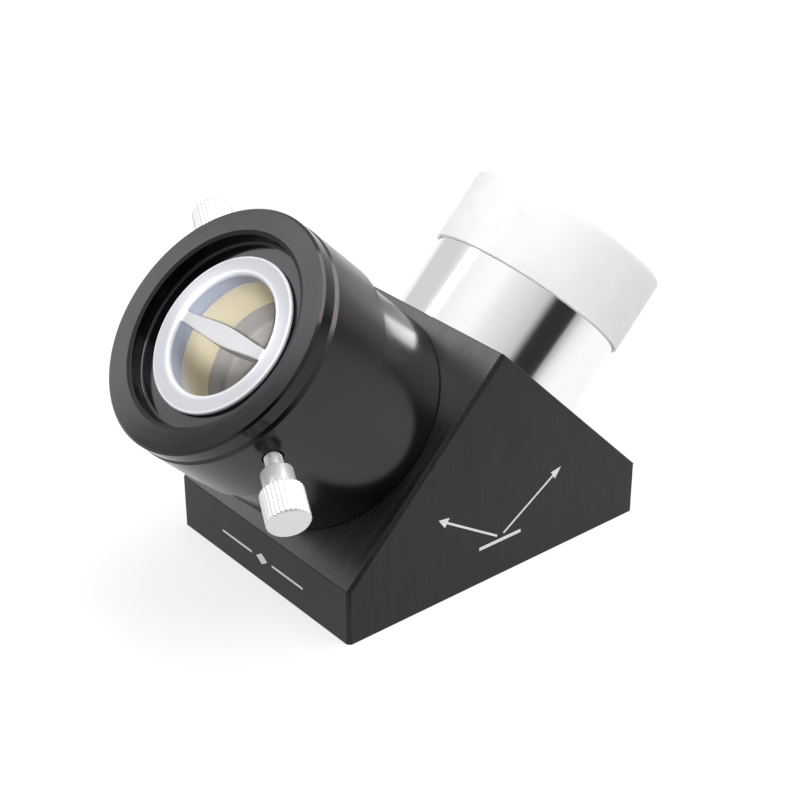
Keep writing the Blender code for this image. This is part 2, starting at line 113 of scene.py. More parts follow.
class Look:
    """A Principled material whose patterns are built with a few short calls."""

    def __init__(self, name, colour, roughness, metallic=0.0, **sockets):
        self.material = bpy.data.materials.new(name)
        self.material.use_nodes = True
        self.tree = self.material.node_tree
        self.shader = self.tree.nodes["Principled BSDF"]
        self.set("Base Color", (*colour, 1.0))
        self.set("Roughness", roughness)
        self.set("Metallic", metallic)
        for socket, value in sockets.items():
            self.set(socket.replace("_", " "), value)

    def set(self, socket, value):
        feed(self.tree, self.shader.inputs[socket], value)

    def node(self, kind, *inputs, **settings):
        return add_node(self.tree, kind, *inputs, **settings)

    def maths(self, operation, *values):
        return self.node("ShaderNodeMath", *values, operation=operation).outputs[0]

    def place(self):
        """X, Y and Z of the piece's own frame, in mm."""
        coordinates = self.node("ShaderNodeTexCoord").outputs["Object"]
        scaled = self.node("ShaderNodeVectorMath", coordinates, operation="SCALE")
        scaled.inputs["Scale"].default_value = 1 / MM
        return self.node("ShaderNodeSeparateXYZ", scaled.outputs[0]).outputs

    def normal(self):
        """X, Y and Z of the face's normal, in the world."""
        normal = self.node("ShaderNodeNewGeometry").outputs["True Normal"]
        return self.node("ShaderNodeSeparateXYZ", normal).outputs

    def vector(self, x, y, z):
        return self.node("ShaderNodeCombineXYZ", x, y, z).outputs[0]

    def radius(self, x, y):
        squares = [self.maths("MULTIPLY", part, part) for part in (x, y)]
        return self.maths("SQRT", self.maths("ADD", *squares))

    def noise(self, vector, scale, detail=3.0, rough=0.6):
        made = self.node("ShaderNodeTexNoise", vector)
        made.inputs["Scale"].default_value = scale
        made.inputs["Detail"].default_value = detail
        made.inputs["Roughness"].default_value = rough
        return made.outputs[0]

    def span(self, value, low, high, out_low=0.0, out_high=1.0):
        """Carry low..high over to out_low..out_high, and clamp outside it."""
        return self.node("ShaderNodeMapRange", value, low, high, out_low, out_high).outputs[0]

    def blend(self, share, first, second):
        """From the first colour to the second, as the share goes from 0 to 1."""
        made = self.node("ShaderNodeMix", share, data_type="RGBA")
        for index, colour in ((6, first), (7, second)):
            feed(self.tree, made.inputs[index], (*colour, 1.0) if isinstance(colour, tuple) else colour)
        return made.outputs[2]

    def bump(self, height, strength, depth_mm):
        made = self.node("ShaderNodeBump", strength, depth_mm * MM)
        feed(self.tree, made.inputs["Height"], height)
        self.set("Normal", made.outputs[0])


def turned_lines(look, scale=3.0):
    """Noise drawn into rings round the piece's axis, as a lathe tool leaves them."""
    x, y, z = look.place()
    along = look.vector(look.radius(x, y), look.maths("MULTIPLY", x, 0.02), z)
    return look.noise(along, scale, 4.0)


def brushed_lines(look):
    """Noise drawn out along the brushing, fine and broad: straight up the block's sides and straight
    down its slopes."""
    across_scale, along_scale = 4.5, 0.07
    x, y, z = look.place()
    normal = look.normal()
    on_side = look.maths("GREATER_THAN", look.maths("ABSOLUTE", normal[1]), 0.6)
    on_end = look.maths("GREATER_THAN", look.maths("ABSOLUTE", normal[0]), 0.9)
    across = look.maths("ADD", look.maths("MULTIPLY", x, on_side),
                        look.maths("MULTIPLY", y, look.maths("SUBTRACT", 1.0, on_side)))
    offset = look.maths("MULTIPLY", on_side, 40.0)
    along = look.maths("ADD", z, look.maths("MULTIPLY", on_end, 17.0))
    stretched = look.vector(
        look.maths("MULTIPLY", across, across_scale), look.maths("MULTIPLY", along, along_scale), offset)
    wider = look.vector(
        look.maths("MULTIPLY", across, across_scale * 0.14), look.maths("MULTIPLY", along, along_scale * 0.6),
        offset)
    return look.noise(stretched, 1.0, 5.0, 0.75), look.noise(wider, 1.0, 2.0)


def black_anodised():
    """The block: fine brushing all over, with more sheen on the two slopes than on the sides. Its colour is
    painted light by face direction: the sides are painted a lighter black than the slopes.
    """
    look = Look("brushed_black_anodised", (0.005, 0.005, 0.005), 0.36)
    fine, broad = brushed_lines(look)
    mixed = look.maths("ADD", look.maths("MULTIPLY", fine, 0.65), look.maths("MULTIPLY", broad, 0.35))
    tone = look.span(mixed, 0.34, 0.66)
    slope = look.span(look.normal()[2], 0.6, 0.7)
    look.set("Specular IOR Level", look.span(slope, 0.0, 1.0, 0.28, 0.95))
    # painted light: by the way each face points, the sides get a lighter black than the slopes
    bright = look.blend(slope, (0.013, 0.013, 0.0145), (0.009, 0.0095, 0.0105))
    look.set("Base Color", look.blend(tone, (0.001, 0.0012, 0.0015), bright))
    brushed = look.span(mixed, 0.3, 0.7, 0.33, 0.44)
    look.set("Roughness", look.maths("SUBTRACT", brushed, look.maths("MULTIPLY", slope, 0.12)))
    look.bump(fine, 0.3, 0.03)
    return look.material


def gloss_black(name, roughness, strength, specular):
    """Black anodised metal with fine lathe rings."""
    look = Look(name, (0.002, 0.0018, 0.002), roughness, Specular_IOR_Level=specular,
                Specular_Tint=(1.0, 0.93, 1.0, 1.0))
    rings = turned_lines(look)
    x, y, z = look.place()
    cloud = look.noise(look.vector(x, y, z), 0.11, 2.0)
    look.set("Base Color", look.blend(
        look.span(rings, 0.35, 0.65), (0.0010, 0.0009, 0.0010), (0.0030, 0.0026, 0.0030)))
    turned = look.span(rings, 0.3, 0.7, roughness - 0.03, roughness + 0.04)
    look.set("Roughness", look.maths("ADD", turned, look.span(cloud, 0.3, 0.7, -0.02, 0.02)))
    look.bump(rings, strength, 0.012)
    return look.material


def polished_metal(name, colour, roughness, strength, scale, metallic=1.0):
    """Bright metal with faint lathe rings."""
    look = Look(name, colour, roughness, metallic)
    rings = turned_lines(look, scale)
    dimmer = tuple(0.97 * part for part in colour)
    look.set("Base Color", look.blend(look.span(rings, 0.35, 0.65), dimmer, colour))
    look.set("Roughness", look.span(rings, 0.3, 0.7, roughness * 0.9, roughness * 1.1))
    look.bump(rings, strength, 0.01)
    return look.material


def brass():
    look = Look("satin_brass", (0.9, 0.75, 0.38), 0.55, 0.6)
    rings = turned_lines(look, 3.5)
    x, y, z = look.place()
    cloud = look.noise(look.vector(x, y, z), 0.25, 3.0)
    look.set("Base Color", look.blend(look.span(cloud, 0.3, 0.7), (0.84, 0.72, 0.27), (0.90, 0.79, 0.36)))
    look.set("Roughness", look.span(rings, 0.3, 0.7, 0.5, 0.62))
    look.bump(rings, 0.2, 0.02)
    return look.material


def milky_plug():
    """Polyethylene: its thin cup lets the bore show through, its thick flange and handle hardly do."""
    look = Look("milky_plug_plastic", (0.7, 0.72, 0.78), 0.34)
    x, y, z = look.place()
    radius = look.radius(x, y)
    cloud = look.noise(look.vector(x, y, z), 0.35, 3.0)
    look.set("Roughness", look.span(cloud, 0.3, 0.7, 0.28, 0.42))
    rim = look.span(z, 74.6, 75.4)
    handle = look.maths("MULTIPLY", look.span(radius, 14.2, 13.4), look.span(z, 70.0, 70.6))
    thick = look.maths("MAXIMUM", rim, handle)

    # painted light: the cup is painted lighter and warm deep down, where the brass ring lies behind it, and
    # greyer blue towards the mouth
    cup_with_painted_brass_glow = look.blend(look.span(z, 68.0, 72.0), (0.80, 0.77, 0.76), (0.60, 0.65, 0.78))
    # painted shade: the flange is painted darker where it lies over the black recess floor than on its inner
    # lip
    flange_with_painted_floor_shade = look.blend(look.span(radius, 15.2, 15.8), (0.55, 0.56, 0.59), (0.48, 0.49, 0.52))
    # painted highlight: the flange's outer edge is painted a lighter white
    flange_with_painted_shade_and_highlight = look.blend(look.span(radius, 18.2, 18.5), flange_with_painted_floor_shade, (0.70, 0.71, 0.74))
    handle_tint = look.blend(look.span(cloud, 0.3, 0.7), (0.285, 0.29, 0.30), (0.305, 0.31, 0.32))
    look.set("Base Color", look.blend(thick, cup_with_painted_brass_glow, look.blend(handle, flange_with_painted_shade_and_highlight, handle_tint)))

    cup_alpha = look.span(z, 70.5, 72.2, 0.23, 0.34)
    over_black = look.maths("MULTIPLY", look.span(radius, 15.3, 15.7), look.span(radius, 18.6, 18.3))
    thick_alpha = look.maths("MULTIPLY", thick, look.span(over_black, 0.0, 1.0, 0.97, 0.86))
    look.set("Alpha", look.maths("MAXIMUM", cup_alpha, thick_alpha))
    look.bump(look.noise(look.vector(x, y, z), 1.2, 2.0), 0.08, 0.03)
    return look.material


def milky_cap():
    """Polyethylene: the wall glows over the bright barrel. The end is painted greyer, as painted shade from
    the dark bore behind it, and the band round its rounded edge is painted a darker grey, as painted shade
    too.
    """
    look = Look("milky_cap_plastic", (0.8, 0.8, 0.8), 0.30, Subsurface_Weight=0.7, Subsurface_Scale=0.004,
                Subsurface_Radius=(1.0, 1.0, 1.0))
    x, y, z = look.place()
    cloud = look.noise(look.vector(x, y, z), 0.12, 3.0)
    radius = look.radius(x, y)
    disc = look.maths("MULTIPLY", look.span(radius, 25.2, 23.2), look.span(z, 70.0, 70.4))
    shade = look.span(cloud, 0.3, 0.7)
    wall = look.blend(shade, (0.94, 0.945, 0.96), (0.96, 0.965, 0.975))
    # painted shade: the top of the wall and the rounded edge at the end are painted a darker grey
    wall_with_painted_rim_shade = look.blend(look.span(z, 70.3, 71.1), wall, (0.62, 0.62, 0.66))
    # painted shade: the end disc is painted grey, as the dark bore behind it would darken it
    end = look.blend(shade, (0.40, 0.405, 0.42), (0.45, 0.455, 0.47))
    look.set("Base Color", look.blend(disc, wall_with_painted_rim_shade, end))
    look.set("Roughness", look.span(cloud, 0.3, 0.7, 0.27, 0.34))
    look.set("Alpha", look.maths("MAXIMUM", disc, look.span(cloud, 0.3, 0.7, 0.83, 0.87)))
    look.bump(look.noise(look.vector(x, y, z), 0.5, 2.0), 0.02, 0.05)
    return look.material


def mottled(name, dark, light, roughness, metallic, scale, strength, depth_mm):
    """A plain material whose colour, roughness and height vary in soft clouds."""
    look = Look(name, light, roughness, metallic)
    x, y, z = look.place()
    cloud = look.noise(look.vector(x, y, z), scale, 4.0)
    look.set("Base Color", look.blend(look.span(cloud, 0.35, 0.65), dark, light))
    look.set("Roughness", look.span(cloud, 0.3, 0.7, roughness - 0.06, roughness + 0.06))
    look.bump(cloud, strength, depth_mm)
    return look.material


LOOKS = {
    "block": black_anodised(),
    "gloss": gloss_black("turned_gloss_black", 0.20, 0.06, 0.48),
    "flange": gloss_black("turned_satin_black", 0.12, 0.05, 0.36),
    "chrome": polished_metal("polished_barrel", (0.87, 0.865, 0.87), 0.11, 0.004, 6.0),
    "nickel": polished_metal("bright_nickel", (0.70, 0.70, 0.695), 0.22, 0.006, 6.0, 0.55),
    "brass": brass(),
    "plug": milky_plug(),
    "cap": milky_cap(),
    "black_screw": mottled(
        "black_oxide", (0.008, 0.008, 0.009), (0.02, 0.02, 0.021), 0.38, 0.4, 2.0, 0.12, 0.03),
    "rubber": mottled("soft_rubber", (0.015, 0.015, 0.015), (0.03, 0.03, 0.03), 0.85, 0.0, 3.0, 0.35, 0.05),
    "mirror": mottled(
        "dielectric_mirror", (0.74, 0.80, 0.86), (0.80, 0.85, 0.90), 0.08, 1.0, 0.05, 0.0, 0.001),
    "ink": mottled("pale_printed_ink", (0.55, 0.55, 0.56), (0.66, 0.66, 0.67), 0.5, 0.0, 2.5, 0.15, 0.01),
}


# ---------------------------------------------------------------- mesh tools

def finish_piece(work, name, axis, body, slot, look, nodes, sharp=SMOOTH_UP_TO):
    """Turn a bmesh into a named piece. With a body, it also rides on that body and stands for the nodes."""
    bmesh.ops.recalc_face_normals(work, faces=work.faces)
    mesh = bpy.data.meshes.new(name)
    work.to_mesh(mesh)
    work.free()
    for polygon in mesh.polygons:
        polygon.use_smooth = True
    mesh.set_sharp_from_angle(angle=math.radians(sharp))
    mesh.materials.append(LOOKS[look])
    piece = bpy.data.objects.new(name, mesh)
    bpy.context.scene.collection.objects.link(piece)
    piece.matrix_world = axis
    if body:
        adopt(piece, body, slot, *nodes)
    return piece


def adopt(piece, body, slot, *nodes):
    """Let a piece ride on a body and stand for CAD nodes. The slot is not used."""
    weighted = piece.modifiers.new("even_normals", "WEIGHTED_NORMAL")
    weighted.keep_sharp = True
    weighted.weight = 50
    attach(piece, body)
    if nodes:
        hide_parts(*nodes)


def eased(profile, closed, steps=3):
    """A profile of (radius, station[, rounding]) points in mm, with its corners rounded."""
    rows = []
    count = len(profile)
    for index, corner in enumerate(profile):
        rounding = corner[2] if len(corner) > 2 else FINE
        if rounding == 0 or (not closed and index in (0, count - 1)):
            rows.append(corner[:2])
            continue
        here = Vector(corner[:2])
        before = Vector(profile[index - 1][:2]) - here
        after = Vector(profile[(index + 1) % count][:2]) - here
        reach = rounding / math.tan(before.angle(after) / 2)
        reach = min(reach, 0.45 * before.length, 0.45 * after.length)
        start = here + before.normalized() * reach
        end = here + after.normalized() * reach
        for step in range(steps + 1):
            share = step / steps
            row = start * (1 - share) ** 2 + here * 2 * share * (1 - share) + end * share ** 2
            rows.append((row.x, row.y))
    return rows


def turn(rows, closed, steps=STEPS, swell=None, split_mm=0.0):
    """Sweep rows of (radius, station) round Z. A split leaves a slot that wide at local +X."""
    work = bmesh.new()
    widest = max(radius for radius, _ in rows)
    gap = math.asin(split_mm / 2 / widest) if split_mm else 0.0
    columns = steps + 1 if split_mm else steps
    rings = []
    for radius, station in rows:
        if radius < 1e-6:
            rings.append([work.verts.new((0, 0, station * MM))])
            continue
        ring = []
        for step in range(columns):
            angle = gap + (2 * math.pi - 2 * gap) * step / steps
            reach = swell(radius, station, angle) if swell else radius
            spot = (reach * math.cos(angle), reach * math.sin(angle), station)
            ring.append(work.verts.new([part * MM for part in spot]))
        rings.append(ring)
    pairs = list(zip(rings, rings[1:]))
    if closed:
        pairs.append((rings[-1], rings[0]))
    for first, second in pairs:
        for step in range(steps):
            after = (step + 1) % columns
            if len(first) == 1:
                work.faces.new((first[0], second[step], second[after]))
            elif len(second) == 1:
                work.faces.new((first[step], second[0], first[after]))
            else:
                work.faces.new((first[step], second[step], second[after], first[after]))
    if split_mm:
        work.faces.new([ring[0] for ring in rings])
        work.faces.new([ring[-1] for ring in rings])
    return work


def lathe(name, profile, axis, body, slot, look, nodes=(), closed=True, **options):
    """A finished turned piece, from its profile."""
    rows = eased(profile, closed)
    return finish_piece(turn(rows, closed, **options), name, axis, body, slot, look, nodes)


def prism(outline, low, high):
    """A flat outline of (x, y) points in mm, from one height to another."""
    work = bmesh.new()
    layers = []
    for height in (low, high):
        layers.append([work.verts.new((x * MM, y * MM, height * MM)) for x, y in outline])
    bottom, top = layers
    work.faces.new(bottom[::-1])
    work.faces.new(top)
    for index in range(len(outline)):
        after = (index + 1) % len(outline)
        work.faces.new((bottom[index], bottom[after], top[after], top[index]))
    return work


def rounded_outline(length, width, radius, count=10):
    """A rectangle with rounded corners, centred on the origin."""
    points = []
    for side_x, side_y, start in ((1, 1, 0), (-1, 1, 90), (-1, -1, 180), (1, -1, 270)):
        for index in range(count + 1):
            angle = math.radians(start + 90 * index / count)
            points.append((side_x * (length / 2 - radius) + radius * math.cos(angle),
                           side_y * (width / 2 - radius) + radius * math.sin(angle)))
    return points


def apply_cuts(piece, cutters, operation="DIFFERENCE"):
    """Cut the pieces made for it out of a piece, and throw them away."""
    for cutter in cutters:
        modifier = piece.modifiers.new("cut", "BOOLEAN")
        modifier.operation = operation
        modifier.solver = "EXACT"
        modifier.object = cutter
    bake_modifiers(piece)
    for cutter in cutters:
        bpy.data.objects.remove(cutter)


def bake_modifiers(piece):
    """Put what the modifiers make into the mesh itself."""
    bpy.context.view_layer.update()
    depsgraph = bpy.context.evaluated_depsgraph_get()
    mesh = bpy.data.meshes.new_from_object(piece.evaluated_get(depsgraph))
    piece.modifiers.clear()
    piece.data = mesh
    for polygon in mesh.polygons:
        polygon.use_smooth = True
    mesh.set_sharp_from_angle(angle=math.radians(SMOOTH_UP_TO))


def unfinished(work, name, axis, look="block"):
    """A piece that still has cuts to come, and rides on nothing until it is adopted."""
    return finish_piece(work, name, axis, None, None, look, ())


def cutter(work, axis=Matrix.Identity(4)):
    return unfinished(work, "cutter", axis)


def ease_edges(piece, width, segments=2, limit_degrees=30):
    """Round every edge that turns through more than the limit."""
    easing = piece.modifiers.new("easing", "BEVEL")
    easing.width = width * MM
    easing.segments = segments
    easing.limit_method = "ANGLE"
    easing.angle_limit = math.radians(limit_degrees)


# ---------------------------------------------------------------- the block

def build_block():
    """The wedge, with its visible edges chamfered, then bored for both tubes, the mirror and the plate."""
    half = BLOCK_HALF_LENGTH
    outline = [(-half, 0.0), (half, 0.0), (half, RIDGE_Z - half + RIDGE_X), (RIDGE_X, RIDGE_Z),
               (-half, RIDGE_Z - half - RIDGE_X)]
    block = unfinished(prism(outline, -BLOCK_HALF_WIDTH, BLOCK_HALF_WIDTH), "block", UPRIGHT)
    weights = block.data.attributes.new("bevel_weight_edge", "FLOAT", "EDGE")
    for edge in block.data.edges:
        ends = [block.data.vertices[index].co / MM for index in edge.vertices]
        middle = (ends[0] + ends[1]) / 2
        across_block = abs(ends[0].z - ends[1].z) > 1
        on_nosepiece_slope = RIDGE_X < middle.x < half - 1
        if max(end.y for end in ends) < 1:
            weight = 0.0        # round the base
        elif across_block or on_nosepiece_slope:
            weight = 0.25
        else:
            weight = 1.0        # the upright edges, and beside the eyepiece's slope
        weights.data[edge.index].value = weight
    chamfer = block.modifiers.new("chamfers", "BEVEL")
    chamfer.width = 0.8 * MM
    chamfer.segments = 1
    chamfer.limit_method = "WEIGHT"
    bake_modifiers(block)
    ease_edges(block, 0.07, limit_degrees=25)
    eyepiece_bore = [(0, 33.5), (26.3, 33.5), (26.3, 27.456), (LIGHT_PATH, 27.456), (LIGHT_PATH, 0), (0, 0)]
    nosepiece_bore = [(0, 32), (25.7, 32), (25.7, 25.9), (LIGHT_PATH, 25.9), (LIGHT_PATH, 0), (0, 0)]
    half_step = Matrix.Rotation(math.pi / STEPS, 4, "Z")
    mirror_seat = prism(rounded_outline(70.6, 50.6, 25.0, 24), -1, 14.1)
    plate_seat = prism(rounded_outline(81.6, 59.6, 4.3), -1, PLATE_THICKNESS + 0.3)
    apply_cuts(block, [
        cutter(turn(eyepiece_bore, False), EYEPIECE),
        cutter(turn(nosepiece_bore, False), NOSEPIECE @ half_step),
        cutter(mirror_seat, Matrix.Translation((0.7 * MM, 0, 0))),
        cutter(plate_seat),
    ])
    # The brushing follows the piece's own frame, so that is made the same as the world's.
    block.data.transform(block.matrix_world)
    block.matrix_world = Matrix.Identity(4)
    adopt(block, "diagonal", "black_anodised", "housing")


def build_base():
    """The plate let into the underside, and its four countersunk hexagon-socket screws."""
    slab = prism(rounded_outline(81.0, 59.0, 4.0), 0.0, PLATE_THICKNESS)
    plate = unfinished(slab, "base_plate", Matrix.Identity(4))
    ease_edges(plate, 0.15)
    sinks = []
    places = [(x * 36.0, y * 25.0) for x in (-1, 1) for y in (-1, 1)]
    for x, y in places:
        rows = [(0, 3.8), (1.8, 3.8), (1.8, 1.4), (3.2, 0.0), (3.2, -1.0), (0, -1.0)]
        sinks.append(cutter(turn(rows, False, SMALL_STEPS), Matrix.Translation((x * MM, y * MM, 0))))
    apply_cuts(plate, sinks)
    adopt(plate, "diagonal", "black_anodised", "back_plate")
    for number, (x, y) in enumerate(places, 1):
        place = Matrix.Translation((x * MM, y * MM, 0))
        rows = eased([(0, 9.0), (1.4, 9.0), (1.5, 8.9), (1.5, 1.5), (2.9, 0.1), (0, 0.1)], False)
        screw = unfinished(turn(rows, False, SMALL_STEPS), f"base_screw_{number}", place, "black_screw")
        corners = [math.radians(60 * side) for side in range(6)]
        hexagon = [(math.cos(corner), math.sin(corner)) for corner in corners]
        apply_cuts(screw, [cutter(prism(hexagon, -1.0, 1.1), place)])
        adopt(screw, "diagonal", "black_screw", f"plate_screw_{number}")


# ---------------------------------------------------------------- eyepiece side

def build_holder():
    """The plain tube, the clamping barrel with its two tapped holes, and the brass ring inside it."""
    lathe("holder_tube_turned", [
        (27.2, 61.5), (27.2, 55.8), (TUBE, 55.8, 0.2), (TUBE, 32.76), (26.0, 32.76), (26.0, 27.76),
        (LIGHT_PATH, 27.76), (LIGHT_PATH, 45.0), (TWO_INCH_BORE, 45.0), (TWO_INCH_BORE, 61.5)],
        EYEPIECE, "diagonal", "gloss_black", "gloss", ["holder_tube"])
    rows = eased([
        (28.7, 74.75, 0.1), (BARREL, 73.85, 0.1), (BARREL, 56.4), (29.3, 56.1), (27.5, 56.1), (27.5, 61.8),
        (TWO_INCH_BORE, 61.8), (TWO_INCH_BORE, 62.9), (26.75, 62.9), (26.75, 71.8),
        (TWO_INCH_BORE, 71.8), (TWO_INCH_BORE, 74.45), (25.85, 74.75)], True)
    barrel = unfinished(turn(rows, True), "holder_barrel", EYEPIECE, "gloss")
    holes = []
    for number in (1, 2):
        rows = eased([(0, 25.4), (2.3, 25.4), (2.3, 29.35), (2.9, 30.2), (2.9, 31.0), (0, 31.0)], False)
        holes.append(cutter(turn(rows, False, SMALL_STEPS), screw_frame(number)))
    apply_cuts(barrel, holes)
    adopt(barrel, "diagonal", "gloss_black", "eyepiece_holder")
    lathe("holder_ring", [(TWO_INCH_BORE, 63.2), (26.2, 63.2), (26.2, 71.5), (TWO_INCH_BORE, 71.5)],
          EYEPIECE, "diagonal", "brass", "brass", ["holder_clamp_ring"], split_mm=RING_SPLIT)


def thread_mesh(radius, root, pitch, low, high, steps=48, rows_per_turn=10):
    """A right-hand thread: the crest climbs one pitch for each turn."""
    work = bmesh.new()
    count = round((high - low) / pitch * rows_per_turn)
    rings = []
    for row in range(count + 1):
        station = low + (high - low) * row / count
        fade = min(1.0, (station - low) / 0.5, (high - station) / 0.5)
        ring = []
        for step in range(steps):
            phase = (station / pitch - step / steps) % 1.0
            crest = min(1.0, 1.6 * (1.0 - abs(2.0 * phase - 1.0)))
            reach = (root + (radius - root) * crest * fade) * MM
            angle = 2 * math.pi * step / steps
            ring.append(work.verts.new((reach * math.cos(angle), reach * math.sin(angle), station * MM)))
        rings.append(ring)
    for lower, upper in zip(rings, rings[1:]):
        for step in range(steps):
            after = (step + 1) % steps
            work.faces.new((lower[step], lower[after], upper[after], upper[step]))
    work.faces.new(rings[0][::-1])
    work.faces.new(rings[-1])
    return work


def knurl(radius, station, angle):
    """Straight ridges on the head's full radius, and none on its hub or its end."""
    if radius < HEAD_BEVEL_START:
        return radius
    phase = (angle * RIDGES / (2 * math.pi)) % 1.0
    groove = abs(2.0 * phase - 1.0) ** 1.6
    return radius - 0.28 * groove * min(1.0, (radius - HEAD_BEVEL_START) / 0.35)


def build_thumbscrews():
    """Each screw's threaded stud, which slides, and its knurled head with a plain hub, which turns."""
    for number, start in enumerate(HUB_STARTS, 1):
        axis = screw_frame(number)
        stud = thread_mesh(STUD, STUD_ROOT, PITCH, start - STUD_BELOW_HUB, start + 4.0)
        finish_piece(stud, f"screw_{number}_thread", axis, f"screw_{number}_stud",
                     "bright_metal", "nickel", [f"thumbscrew_{number}_stud"], 50)
        hub_end = start + HUB_LENGTH
        end = hub_end + HEAD_LENGTH
        lathe(f"screw_{number}_knob", [
            (0, end), (HEAD - 0.48, end, 0.1), (HEAD, end - 0.48, 0.1), (HEAD, hub_end + 0.4, 0.1),
            (HEAD_BEVEL_START, hub_end, 0.1), (HUB, hub_end, 0.15), (HUB, start + 0.3), (3.3, start, 0.1),
            (STUD + 0.3, start, 0.1), (STUD + 0.3, start + 4.3, 0), (0, start + 4.3)],
            axis, f"screw_{number}_head", "bright_metal", "nickel", [f"thumbscrew_{number}_head"],
            closed=False, steps=12 * RIDGES, swell=knurl)


def build_adapter():
    """The adapter, with its recessed face, and the brass ring in its bore."""
    lathe("adapter_turned", [
        (28.85, 78.85, 0.1), (29.4, 78.3, 0.1), (29.4, 75.05, 0.2), (25.25, 75.05), (25.25, 50.4),
        (24.85, 50.0), (ADAPTER_BORE, 50.0), (ADAPTER_BORE, 59.5), (17.4, 59.5), (17.4, 69.6),
        (ADAPTER_BORE, 69.6), (ADAPTER_BORE, 74.55), (16.35, 74.95), (22.95, 74.95, 0.9), (22.95, 78.53),
        (23.88, 78.85, 0.1)],
        EYEPIECE, "adapter", "gloss_black", "flange", ["adapter_body"])
    lathe("adapter_ring", [(16.2, 59.8), (17.1, 59.8), (17.1, 69.3), (16.2, 69.3)],
          EYEPIECE, "adapter", "brass", "brass", ["adapter_clamp_ring"], split_mm=RING_SPLIT)


def build_plug():
    """A thin cup with a flange, and a handle across its mouth that is widest in the middle."""
    rows = eased([
        (0, 55.9), (14.1, 55.9, 0.6), (14.4, 75.4, 0), (14.57, 75.85, 0.3), (14.95, 76.15, 0.3),
        (18.6, 76.15, 0.25), (18.85, 75.9, 0.1), (18.85, 75.25), (15.6, 75.25, 0.2), (15.3, 54.9, 0.6),
        (0, 54.9)], False, 4)
    plug = unfinished(turn(rows, False), "dust_plug_moulded", EYEPIECE, "plug")
    half_length = 15.0
    upper = []
    for index in range(25):
        along = index / 12 - 1
        swell = math.cos(math.pi * along / 2) ** 2
        upper.append((half_length * along, (2.7 + 1.9 * swell) / 2))
    outline = upper + [(x, -y) for x, y in reversed(upper)]
    handle = cutter(prism(outline[::-1], 70.55, 75.55), EYEPIECE @ Matrix.Rotation(math.radians(93), 4, "Z"))
    ease_edges(handle, 0.35, 3, 50)
    apply_cuts(plug, [handle], "UNION")
    adopt(plug, "plug", "milky_plastic", "dust_plug")


# ---------------------------------------------------------------- nosepiece side

def build_nosepiece():
    """The polished two-inch tube, with filter-thread grooves inside its mouth, and its cap."""
    thread = []
    for crest in range(8):
        thread += [(24.0, 65.2 + 0.6 * crest, 0), (23.7, 65.5 + 0.6 * crest, 0)]
    outside = [(24.9, 70.0, 0.1), (TWO_INCH, 69.5, 0.2), (TWO_INCH, 26.2)]
    inside = [(LIGHT_PATH, 26.2), (LIGHT_PATH, 65.0), *thread, (24.2, 70.0, 0.1)]
    lathe("nosepiece_turned", outside + inside, NOSEPIECE, "diagonal", "chrome", "chrome", ["nosepiece"])
    lathe("nosepiece_cap_moulded", [
        (0, 71.5), (CAP, 71.5, 1.3), (CAP, 51.3, 0.3), (25.7, 51.3, 0.3), (25.7, 70.4, 0.6), (0, 70.4)],
        NOSEPIECE, "cap", "milky_plastic", "cap", ["nosepiece_cap"], closed=False)


# ---------------------------------------------------------------- printed marks

def bar(start, end, width):
    """The outline of a straight stroke in a printed mark."""
    along = Vector(end) - Vector(start)
    side = Vector((-along.y, along.x)).normalized() * width / 2
    return [tuple(Vector(start) + side), tuple(Vector(start) - side),
            tuple(Vector(end) - side), tuple(Vector(end) + side)]


def print_mark(name, outlines, face):
    """Ink outlines laid on a flat face, as one thin piece let slightly into it."""
    work = bmesh.new()
    for outline in outlines:
        stroke = prism(outline, -0.02, 0.03)
        loose = bpy.data.meshes.new("stroke")
        stroke.to_mesh(loose)
        stroke.free()
        work.from_mesh(loose)
        bpy.data.meshes.remove(loose)
    finish_piece(work, name, face, "diagonal", "printed_mark", "ink", ())


def build_marks():
    """Plain marks: the folded light path on the side face, a ruled line and a lozenge on the end face."""
    side = Matrix.Translation((0, -BLOCK_HALF_WIDTH * MM, 0)) @ UPRIGHT
    corner = Vector((0.0, 10.5))
    left, right = corner + Vector((-19.0, 12.0)), corner + Vector((19.0, 12.0))
    strokes = [bar(corner + Vector((-6.5, -0.9)), corner + Vector((6.5, -0.9)), 0.9)]
    for tip, way in ((left, Vector((-1, 0))), (right, Vector((1, 0)))):
        path = (tip - corner).normalized()
        back = tip - path * 3.0
        strokes.append(bar(corner + path * 1.2, back - path * 0.01, 0.55))
        across = Vector((-path.y, path.x)) * 1.3
        strokes.append([tuple(tip), tuple(back + across), tuple(back - across)])
    print_mark("light_path_mark", strokes, side)
    quarter_turn = Matrix.Rotation(-math.pi / 2, 4, "Z")
    end = Matrix.Translation((-BLOCK_HALF_LENGTH * MM, 0, 0)) @ quarter_turn @ UPRIGHT
    lozenge = [(-2.2, 6.4), (0.0, 4.9), (2.2, 6.4), (0.0, 7.9)]
    rules = [bar((-16.0, 6.4), (-4.0, 6.4), 0.6), bar((4.0, 6.4), (16.0, 6.4), 0.6)]
    print_mark("end_mark", [rules[0], lozenge, rules[1]], end)


# ---------------------------------------------------------------- studio

CAMERA_AT = Vector((-242.7, -293.7, 240.3)) * MM
CAMERA_AIM = Vector((11.1, 5.12, 34.66)) * MM
CAMERA_ROLL = 0.008         # radians


